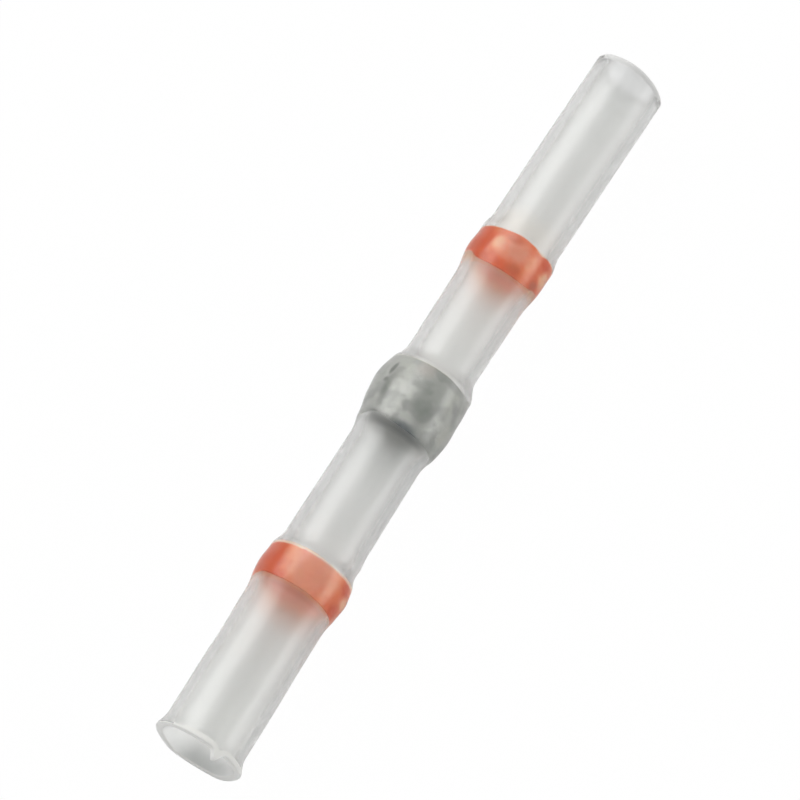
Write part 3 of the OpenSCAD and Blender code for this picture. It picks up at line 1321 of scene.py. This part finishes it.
TUBE_PATCHES = (
    # Painted glow on the tube left of each sealing ring, on the near and far side
    Patch(-12.0, NEAREST - 9.0, 0.9, 46.0, PAINTED_RING_GLOW, 0.7, 0.9, 0.3),
    Patch(-11.6, FARTHEST, 0.5, 50.0, PAINTED_RING_GLOW, 0.5, 0.9, 0.3),
    Patch(7.2, NEAREST - 9.0, 0.7, 46.0, PAINTED_RING_GLOW, 0.6, 0.9, 0.3),
    Patch(7.4, FARTHEST, 0.4, 50.0, PAINTED_RING_GLOW, 0.5, 0.9, 0.3),
    # Painted warm light right of the right sealing ring
    Patch(10.2, NEAREST, 0.7, 65.0, PAINTED_WARM_LIGHT, 0.55, 0.9, 0.2),
    Patch(-2.6, NEAREST - 7.0, 0.8, 38.0, SHADE, 0.4, 0.9, 0.3),
    Patch(-3.5, NEAREST - 16.0, 1.4, 52.0, SHADE, 0.38, 0.9, 0.3),
    # Painted light: the tube's two sides paler along their whole length
    Patch(0.0, LOWER_RIGHT, 60.0, 42.0, PAINTED_SIDE_LIGHT, 1.0, 0.8, 0.0),
    Patch(0.0, UPPER_LEFT, 60.0, 38.0, PAINTED_SIDE_LIGHT, 0.6, 0.8, 0.0),
    # Painted shade: the tube's middle made greyer, between its lit bands
    Patch(-14.5, NEAREST - 8.0, 4.5, 38.0, MIDDLE_SHADE_GREY, 0.6, 0.9, 0.1),
    Patch(-6.5, NEAREST, 4.5, 68.0, MIDDLE_SHADE_GREY, 0.75, 0.9, 0.1),
    Patch(4.5, NEAREST, 3.5, 62.0, MIDDLE_SHADE_GREY, 0.5, 0.9, 0.1),
    Patch(15.0, NEAREST - 8.0, 6.5, 42.0, MIDDLE_SHADE_GREY, 0.75, 0.9, 0.1),
    Patch(-19.8, FARTHEST + 20.0, 0.55, 45.0, SHADE, 0.85, 0.8, 0.3),
    Patch(-10.4, NEAREST, 0.88, ALL_ROUND, STAINED, 1.0, 0.06, 0.05),
    Patch(8.7, NEAREST, 0.95, ALL_ROUND, STAINED, 1.0, 0.06, 0.05),
    Patch(-11.45, -8.0, 0.16, 40.0, BROWN_SHADE, 0.4, 0.7, 0.3),
    Patch(-1.84, -8.0, 0.14, 48.0, ARC_SHADE, 0.4, 0.5, 0.25),
    Patch(20.3, NEAREST, 1.9, 55.0, END_SHADE, 1.0, 0.8, 0.2),
)


@dataclass
class Connector:
    """The whole connector: the tube and what it grips."""

    shoulder: float = 0.9
    flare: float = 0.8
    cut_lip: float = 0.1

    def steps(
        self, profile: CadProfile, start: float, rings: tuple[RingPlace, ...], end: float
    ) -> tuple[Step, ...]:
        """Works out the bore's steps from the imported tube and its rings.

        Args:
            profile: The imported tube's radii.
            start: The left mouth.
            rings: The left sealing ring, the solder and the right sealing ring.
            end: The right mouth.

        Returns:
            The steps from left to right.
        """
        inside = start + self.cut_lip
        here = start + self.flare
        level = profile.bore(here)
        steps = [Step(inside, here, level - profile.bore(inside), Rise.EARLY)]
        for ring in rings:
            foot, far_foot = ring.start - self.shoulder, ring.end + self.shoulder
            before, seat, after = profile.bore(foot), profile.bore(ring.start), profile.bore(far_foot)
            steps.append(Step(here, foot, before - level, Rise.EVEN))
            steps.append(Step(foot, ring.start, seat - before, Rise.LATE))
            steps.append(Step(ring.start, ring.middle, ring.crown, Rise.EARLY))
            steps.append(Step(ring.middle, ring.end, -ring.crown, Rise.LATE))
            steps.append(Step(ring.end, far_foot, after - seat, Rise.EARLY))
            here, level = far_foot, after
        last = end - self.cut_lip
        steps.append(Step(here, last, profile.bore(last) - level, Rise.EVEN))
        return tuple(steps)

    def build(self, patterns: Patterns) -> list[Object]:
        """Builds all pieces.

        Args:
            patterns: The shared shader groups.

        Returns:
            The pieces.
        """
        low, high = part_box("sleeve")
        start, end = low.x * MM, high.x * MM
        profile = CadProfile(frame["nodes"]["sleeve"])
        left = RingPlace.of("left_sealing_ring", "left_seal_bore", profile)
        solder = RingPlace.of("solder_ring", "solder_bore", profile)
        right = RingPlace.of("right_sealing_ring", "right_seal_bore", profile)
        pipework = Pipework(BENDS, end, low.z * MM)
        steps = self.steps(profile, start, (left, solder, right), end)
        mouth_bore = profile.bore(start + self.cut_lip)
        area = profile.section_area(start + self.flare)
        finishes = TubeFinish(TUBE_PATCHES), CutEdgeFinish(CUT_PATCHES)
        tube = Tube(pipework, steps, MOUTH_NICKS, start, end, mouth_bore, area, *finishes)
        rings = (
            GripRing("solder_band", "solder_ring", "solder", RingKind.SOLDER, solder, SOLDER_BITES,
                     SolderFinish(SOLDER_PATCHES), pipework),
            GripRing("left_seal", "left_sealing_ring", "hot_melt", RingKind.SEAL, left, LEFT_SEAL_BITES,
                     HotMeltFinish(LEFT_SEAL_PATCHES), pipework),
            GripRing("right_seal", "right_sealing_ring", "hot_melt", RingKind.SEAL, right, RIGHT_SEAL_BITES,
                     HotMeltFinish(RIGHT_SEAL_PATCHES), pipework),
        )
        return [tube.build(patterns)] + [ring.build(patterns) for ring in rings]


def main() -> None:
    """Builds the connector in its studio."""
    logging.basicConfig(level=logging.INFO, format="%(name)s: %(message)s")
    for piece in Connector().build(Patterns()):
        LOG.info("%s: %d faces", piece.name, len(piece.data.polygons))
    Studio(floor_height=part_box("sleeve")[0].z).build()


if __name__ == "__main__":
    main()
